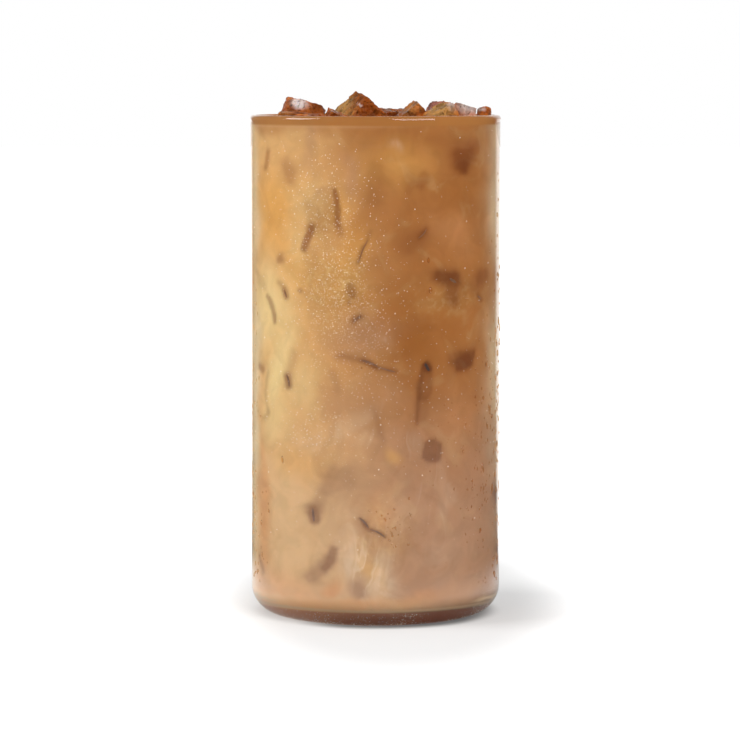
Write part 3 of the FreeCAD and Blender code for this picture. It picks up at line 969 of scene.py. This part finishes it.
def edge_colours(co, s):
    """How much of each colour shows at the drink's edges, painted light among them."""
    around, height, _ = wall_places(co)
    leaning = np.sin(np.radians(around))
    band = (DRINK_HIGH.z - s.band) / MM
    surface = eased(height, band - 0.3, band + 0.3) * (1 - 0.25 * eased(leaning, 0.1, -0.8))
    # A faint pale line lies under the clearer coffee. Round the floor a pale line is painted
    # as a highlight, and at the sides it broadens to a wavy painted glint.
    line = eased(height, band - 0.9, band - 0.5) * eased(height, band + 0.1, band - 0.3)
    line = 0.2 * line * eased(leaning, 0.6, -0.4)
    above = height - (FLOOR - s.into_floor + s.into_wall) / MM
    line = np.maximum(line, 0.7 * eased(above, -0.1, 0.2) * eased(above, 0.8, 0.4))
    wave = 0.5 * drifted(co, 3, 6)[:, 0]
    glint = eased(np.abs(above - 1.2 + wave), 0.6, 0.1) * eased(np.abs(leaning), 0.74, 0.93)
    return {
        "surface": surface,
        "pale_line_and_glint": np.maximum(line, glint),
        # painted light low down, more of it to the left
        "painted_glow": eased(above, 4.5, 0.8) * (0.36 - 0.4 * leaning),
        "floor": eased(above, 0.1, -0.3),
        "height": height * MM / RIM,
    }


class COFFEE_OT_drink(Operator):
    """Adds the milky coffee that fills the glass, with a pocket round each piece of ice"""

    bl_idname = "iced_coffee.drink"
    bl_label = "Drink"

    def execute(self, context):
        s = context.scene.coffee_drink
        corner = context.scene.coffee_tumbler.floor_corner
        skin = BORE_RADIUS + s.into_wall
        bottom = FLOOR - s.into_floor
        level = DRINK_HIGH.z - s.meniscus_rise
        corner_centre = (skin - corner, bottom + corner)
        rise = (s.meniscus_reach**2 + s.meniscus_rise**2) / (2 * s.meniscus_rise)
        start = BORE_RADIUS - s.meniscus_reach
        turn = math.degrees(math.asin(s.meniscus_reach / rise))
        profile = [
            (0, bottom),
            *climb((0, bottom), (corner_centre[0], bottom), 4 * MM),
            *arc(corner_centre, corner, -90, 0, 14),
            *climb((skin, corner_centre[1]), (skin, DRINK_HIGH.z), s.step),
            (skin, DRINK_HIGH.z),
            *arc((start, level + rise), rise, -90 + turn, -90, 6),
            *climb((start, level), (0, level), 1.6 * MM),
            (0, level),
        ]
        bm = lathe(profile, round(math.tau * skin / s.step))
        for face in bm.faces:
            middle = face.calc_center_median()
            top = middle.z > level - 0.3 * MM and middle.xy.length < BORE_RADIUS
            face.material_index = int(top)
        piece = finished(bm, "milky_coffee", [milky_coffee(s), coffee_surface(s)])
        with_pockets(piece, pocket_cutter(context.scene.coffee_ice.pocket_gap))
        co = coordinates(piece.data)
        amounts = {**gather(co), **edge_colours(co, s), "ice": ice_showing(co)}
        for name, amount in amounts.items():
            set_attribute(piece.data, name, amount)
        piece.data.set_sharp_from_angle(angle=math.radians(30))
        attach(piece, BODY)
        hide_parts("coffee")
        self.film(context, s)
        return {"FINISHED"}

    def film(self, context, s):
        """Coffee that clings to the inside of the rim bead, above the drink."""
        tumbler = context.scene.coffee_tumbler
        bead = (OUTER_RADIUS - BORE_RADIUS) / 2 + tumbler.bead_swell
        centre = ((OUTER_RADIUS + BORE_RADIUS) / 2, RIM - bead)
        profile = [
            *arc(centre, bead + s.film, 176, 118, 12),
            *arc(centre, bead - s.film, 122, 172, 12),
        ]
        ring = lathe([*profile, profile[0]], 256)
        piece = finished(ring, "rim_film", [coffee_surface(s)])
        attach(piece, BODY)


# ---- condensation and froth ----

# An area of the glass where drops gather: kind, middle, half sizes in millimetres,
# share of that kind's drops, the drops' least and greatest radius in millimetres, and
# how many times as tall as wide the tallest are.
Dew = namedtuple("Dew", "kind round height across up share least most tall")
DEW = [
    Dew("mist", -23, 107, 7, 10, 0.18, 0.05, 0.17, 1.3),
    Dew("mist", -26, 124, 8, 8, 0.08, 0.05, 0.17, 1.4),
    Dew("mist", -18, 91, 7, 8, 0.22, 0.05, 0.15, 1.2),
    Dew("mist", -13, 79, 10, 11, 0.12, 0.05, 0.11, 1.2),
    Dew("mist", -28, 56, 7, 5, 0.06, 0.05, 0.15, 1.2),
    Dew("mist", -14, 74, 22, 28, 0.10, 0.05, 0.12, 1.2),
    Dew("mist", 150, 80, 60, 30, 0.16, 0.06, 0.20, 1.3),
    Dew("drops", 76, 60, 2.5, 28, 0.13, 0.26, 0.60, 2.6),
    Dew("drops", 66, 56, 3.5, 22, 0.10, 0.20, 0.55, 3.0),
    Dew("drops", 54, 40, 4, 14, 0.09, 0.14, 0.35, 2.4),
    Dew("drops", 38, 52, 7, 10, 0.10, 0.08, 0.20, 1.5),
    Dew("drops", -77, 44, 3, 24, 0.20, 0.14, 0.36, 2.2),
    Dew("drops", -70, 22, 4, 10, 0.06, 0.16, 0.45, 2.6),
    Dew("drops", 8, 30, 2.5, 4, 0.06, 0.14, 0.36, 1.5),
    Dew("drops", 150, 56, 40, 32, 0.26, 0.20, 0.60, 2.6),
]

# White specks on the heel of the glass, dew and at its sides painted glints: middle, half width
# and share.
Heel = namedtuple("Heel", "round across share")
HEEL_DEW_AND_GLINTS = [
    Heel(11, 5, 0.22),
    Heel(-26, 4, 0.14),
    Heel(-9, 2.5, 0.05),
    # Painted highlights: white specks at the heel's sides, put where it would glint.
    Heel(-56, 6, 0.16),
    Heel(58, 6, 0.16),
    Heel(150, 50, 0.27),
]

# Where bubbles gather on the drink: middle and half sizes, in millimetres to the right of
# the axis and behind it, and the share of the bubbles.
Froth = namedtuple("Froth", "x y across deep share")
FROTH = [
    Froth(-22, -22, 2.0, 1.5, 0.14),
    Froth(23, -22, 3.0, 1.5, 0.18),
    Froth(-26, -12, 4.0, 3.0, 0.12),
    Froth(14, -4, 4.0, 3.0, 0.14),
    Froth(-5, -8, 3.0, 2.0, 0.14),
    Froth(0, 4, 20.0, 16.0, 0.28),
]


def drop_pose(at, round_deg, wide, deep, tall, lean=0.0):
    """Puts a unit ball on the glass, wide, deep and tall in metres, leaning by radians."""
    turned = Euler((0, lean, math.radians(round_deg)))
    return Matrix.LocRotScale(at, turned, Vector((wide, deep, tall)))


def joined(name, detail, poses, material):
    """Adds one piece of many small balls."""
    bm = bmesh.new()
    bmesh.ops.create_icosphere(bm, subdivisions=detail, radius=1)
    ball = as_mesh(bm)
    piece = placed(copies(ball, poses), name, [material])
    bpy.data.meshes.remove(ball)
    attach(piece, BODY)


class COFFEE_OT_condensation(Operator):
    """Adds the dew on the glass: fine mist, drops, short runs and specks on the heel, some of
    them painted glints
    """

    bl_idname = "iced_coffee.condensation"
    bl_label = "Condensation"

    def execute(self, context):
        s = context.scene.coffee_dew
        draw = random.Random(s.seed)
        # The heel's specks, among them painted glints, go with the mist.
        mist = self.heel_specks(draw, context.scene.coffee_tumbler.heel, s.mist // 5)
        drops = []
        for area in DEW:
            poses, count = (mist, s.mist) if area.kind == "mist" else (drops, s.drops)
            for _ in range(round(count * area.share)):
                wide = (area.least + (area.most - area.least) * draw.random() ** 3) * MM
                tall = wide * draw.uniform(0.9, area.tall)
                round_deg = self.aside(draw, area)
                height = (area.height + draw.gauss(0, area.up)) * MM
                if 10 * MM < height < 140 * MM:
                    at = on_wall(round_deg, height, OUTER_RADIUS)
                    deep = min(wide * 0.6, 0.26 * MM)
                    lean = draw.gauss(0, 0.4) if poses is mist else draw.gauss(0, 0.12)
                    poses.append(drop_pose(at, round_deg, wide, deep, tall, lean))
        milky = water("water, fine mist", s.mist_tint, 0.6, 0.3)
        clear = water("water, drops", s.drop_tint, 1.0, 0.02)
        joined("dew_mist_and_heel_glints", 1, mist, milky)
        joined("dew_drops", 2, drops, clear)
        return {"FINISHED"}

    def aside(self, draw, area):
        """How far round a drop of that area lies, in degrees."""
        return area.round + math.degrees(draw.gauss(0, area.across) * MM / OUTER_RADIUS)

    def heel_specks(self, draw, heel, count):
        """The poses of the specks on the glass's rounded heel."""
        poses = []
        for area in HEEL_DEW_AND_GLINTS:
            for _ in range(round(count * area.share)):
                round_deg = self.aside(draw, area)
                angle = math.radians(draw.uniform(-72, -28))
                radius = OUTER_RADIUS - heel * (1 - math.cos(angle))
                at = on_wall(round_deg, heel * (1 + math.sin(angle)), radius)
                size = (0.04 + 0.06 * draw.random() ** 2) * MM
                wide = size * draw.uniform(1, 2)
                poses.append(drop_pose(at, round_deg, wide, size * 0.7, size))
        return poses


class COFFEE_OT_froth(Operator):
    """Adds the few bubbles that float on the drink, against the glass and the ice"""

    bl_idname = "iced_coffee.froth"
    bl_label = "Froth"

    def execute(self, context):
        s = context.scene.coffee_dew
        draw = random.Random(s.seed + 1)
        level = DRINK_HIGH.z - context.scene.coffee_drink.meniscus_rise
        poses = []
        for area in FROTH:
            for _ in range(round(s.bubbles * area.share)):
                size = draw.uniform(0.25, 0.7) * MM
                x = (area.x + draw.gauss(0, area.across)) * MM
                y = (area.y + draw.gauss(0, area.deep)) * MM
                if math.hypot(x, y) < BORE_RADIUS - 1.2 * MM:
                    at = Vector((x, y, level + 0.1 * size))
                    poses.append(drop_pose(at, 0, size, size, size * 0.7))
        film = water("coffee, bubbles", s.bubble_tint, 0.85, 0.03)
        joined("froth", 2, poses, film)
        return {"FINISHED"}


# ---- stage ----


class COFFEE_OT_stage(Operator):
    """Adds the white paper sweep, the soft studio lamps and the camera"""

    bl_idname = "iced_coffee.stage"
    bl_label = "Stage"

    def execute(self, context):
        s = context.scene.coffee_stage
        self.table(s)
        self.world(context)
        self.lamp("key", s.key_place, s.key_size, s.key)
        self.lamp("fill", s.fill_place, s.fill_size, s.fill)
        camera = bpy.data.cameras.new("camera")
        camera.lens = s.lens
        camera.sensor_width = 36
        holder = bpy.data.objects.new("camera", camera)
        holder.location = (-s.camera_side, -s.camera_distance, s.camera_height)
        holder.rotation_euler = (math.pi / 2 - s.pitch, 0, 0)
        context.scene.collection.objects.link(holder)
        context.scene.camera = holder
        context.scene.view_settings.view_transform = "Standard"
        return {"FINISHED"}

    def through(self, tree):
        """1 for a ray by which glass or gloss shows what is round it."""
        rays = add(tree, "LightPath").node.outputs
        either = (rays["Is Glossy Ray"], rays["Is Transmission Ray"])
        either = add(tree, "Math", either, operation="MAXIMUM")
        first = add(tree, "Math", (rays["Diffuse Depth"], 0.5), operation="LESS_THAN")
        return add(tree, "Math", (either, first), operation="MULTIPLY")

    def backdrop(self, tree, direction):
        """1 towards the white backdrop behind the drink, less towards the dark side."""
        level = add(tree, "VectorMath", (direction, (1, 1, 0)), operation="MULTIPLY")
        level = add(tree, "VectorMath", (level,), operation="NORMALIZE")
        turn = bpy.context.scene.coffee_stage.backdrop_turn
        facing = (level, (math.sin(turn), math.cos(turn), 0))
        back = add(tree, "VectorMath", facing, out="Value", operation="DOT_PRODUCT")
        back = add(tree, "MapRange", (back, 0.82, 0.98), **SMOOTH)
        steep = add(tree, "VectorMath", (direction,), operation="NORMALIZE")
        steep = add(tree, "SeparateXYZ", (steep,), out="Z")
        low = add(tree, "MapRange", (steep, 0.35, 0.65, 1, 0), **SMOOTH)
        bright = add(tree, "Math", (back, low), operation="MULTIPLY")
        dark_side = bpy.context.scene.coffee_stage.dark_side
        return add(tree, "MapRange", (bright, 0, 1, dark_side, 1), **SMOOTH)

    def table(self, s):
        """Paper with the glass's shadow, cast and partly painted, near it, and white further
        off.
        """
        bm = bmesh.new()
        bmesh.ops.create_grid(bm, x_segments=1, y_segments=1, size=6)
        material, tree = blank_material("white paper sweep")
        place = add(tree, "TexCoord", out="Object")
        distance = add(tree, "VectorMath", (place,), out="Value", operation="LENGTH")
        # near is 1 on the edge of an oval, 70 mm wide and 200 mm deep, whose middle is a
        # little to the right of the foot and behind it. The oval and a ring round the foot are
        # painted shadow: the paper is lit less there, and painted darker at the foot.
        near = {"Vector": place, "Location": (-0.177, -0.22, 0), "Scale": (28.6, 10.0, 1)}
        near = add(tree, "Mapping", near)
        near = add(tree, "VectorMath", (near,), out="Value", operation="LENGTH")
        painted_shadow = add(tree, "MapRange", (near, 0.65, 1.0, 0.3, 0.9), **SMOOTH)
        painted_shadow = add(tree, "MapRange", (distance, 0.031, 0.0375, painted_shadow, 1.0), **SMOOTH)
        grey = add(tree, "Math", (painted_shadow, s.paper), operation="MULTIPLY")
        # Painted light: under the foot the paper takes the colour of light that came through the
        # drink.
        under = add(tree, "MapRange", (distance, 0.027, 0.030, 1, 0), **SMOOTH)
        grey = add(tree, "Mix", {0: under, 6: grey, 7: s.painted_drink_light}, **COLOURS)
        paper = add(tree, "BsdfDiffuse", {"Color": grey})
        # What the camera sees is lit a little more, up to white further off; this light is less
        # inside the oval and at the foot, which paints the shadow there.
        camera = add(tree, "LightPath", out="Is Camera Ray")
        direct = add(tree, "MapRange", (near, 0.95, 2.07, 0.21, 1.0), **SMOOTH)
        direct = add(tree, "Math", (painted_shadow, direct), operation="MULTIPLY")
        direct = add(tree, "Math", (camera, direct), operation="MULTIPLY")
        through = add(tree, "MapRange", (near, 0.95, 2.07, 0.0, 1.0), **SMOOTH)
        painted_glow = (self.through(tree), through, direct)
        painted_glow = add(tree, "Math", painted_glow, operation="MULTIPLY_ADD")
        lit = add(tree, "Emission", {"Color": (1, 1, 1, 1), "Strength": painted_glow})
        both = add(tree, "AddShader", (paper, lit))
        # Glass and gloss show it dark on the studio's dark side.
        away = add(tree, "MapRange", (distance, 0.05, 0.15), **SMOOTH)
        dim = add(tree, "MapRange", (self.backdrop(tree, place), 0, 1, 1, 0), **SMOOTH)
        dim = add(tree, "Math", (dim, away), operation="MULTIPLY")
        dim = add(tree, "Math", (dim, self.through(tree)), operation="MULTIPLY")
        dark = add(tree, "BsdfDiffuse", {"Color": (0, 0, 0, 1)})
        both = add(tree, "MixShader", (dim, both, dark))
        add(tree, "OutputMaterial", {"Surface": both})
        finished(bm, "table", [material])

    def world(self, context):
        """White where it is seen, and a plain level of light from all round elsewhere.

        Glass shows it white behind the drink and dim on the studio's dark side, before it.
        """
        world = bpy.data.worlds.new("studio")
        world.use_nodes = True
        tree = world.node_tree
        tree.nodes.clear()
        rays = add(tree, "LightPath").node.outputs
        again = (rays["Is Transmission Ray"], rays["Diffuse Depth"])
        again = add(tree, "Math", again, operation="MULTIPLY")
        straight = add(tree, "Math", (rays["Is Glossy Ray"], again), operation="MAXIMUM")
        straight = (straight, rays["Is Transmission Ray"])
        straight = add(tree, "Math", straight, operation="MAXIMUM")
        ambient = context.scene.coffee_stage.ambient
        plain = add(tree, "MapRange", (straight, 0, 1, ambient, 0), **SMOOTH)
        backdrop = self.backdrop(tree, add(tree, "TexCoord", out="Generated"))
        shown = add(tree, "Math", (self.through(tree), backdrop), operation="MULTIPLY")
        shown = add(tree, "Math", (shown, rays["Is Camera Ray"]), operation="MAXIMUM")
        strength = add(tree, "Math", (plain, shown), operation="MAXIMUM")
        sky = add(tree, "Background", {"Color": (1, 1, 1, 1), "Strength": strength})
        add(tree, "OutputWorld", {"Surface": sky})
        context.scene.world = world

    def lamp(self, name, place, size, watts):
        """A square soft box. What it lights through the glass, it lights by its shadow rays."""
        light = bpy.data.lights.new(name, "AREA")
        light.shape = "SQUARE"
        light.size = size
        light.energy = watts
        holder = bpy.data.objects.new(name, light)
        holder.location = place
        aim = Vector((0, 0, RIM / 2)) - holder.location
        holder.rotation_euler = aim.to_track_quat("-Z", "Y").to_euler()
        holder.visible_transmission = False
        bpy.context.scene.collection.objects.link(holder)


class COFFEE_PT_panel(Panel):
    """Lists the pieces of the drink and their sizes and colours"""

    bl_idname = "COFFEE_PT_panel"
    bl_label = "Iced Coffee"
    bl_space_type = "VIEW_3D"
    bl_region_type = "UI"
    bl_category = "Iced Coffee"

    def draw(self, context):
        for maker in MAKERS:
            self.layout.operator(maker.bl_idname)
        for group in GROUPS:
            box = self.layout.box()
            settings = getattr(context.scene, group)
            for name in settings.__annotations__:
                box.prop(settings, name)


MAKERS = (
    COFFEE_OT_tumbler,
    COFFEE_OT_sunk_ice,
    COFFEE_OT_surface_ice,
    COFFEE_OT_drink,
    COFFEE_OT_froth,
    COFFEE_OT_condensation,
    COFFEE_OT_stage,
)


def register():
    for cls in (*GROUPS.values(), *MAKERS, COFFEE_PT_panel):
        bpy.utils.register_class(cls)
    for name, group in GROUPS.items():
        setattr(bpy.types.Scene, name, PointerProperty(type=group))


def unregister():
    for name in GROUPS:
        delattr(bpy.types.Scene, name)
    for cls in reversed((*GROUPS.values(), *MAKERS, COFFEE_PT_panel)):
        bpy.utils.unregister_class(cls)


def main():
    register()
    for maker in MAKERS:
        group, name = maker.bl_idname.split(".")
        getattr(getattr(bpy.ops, group), name)()


if __name__ == "__main__":
    main()
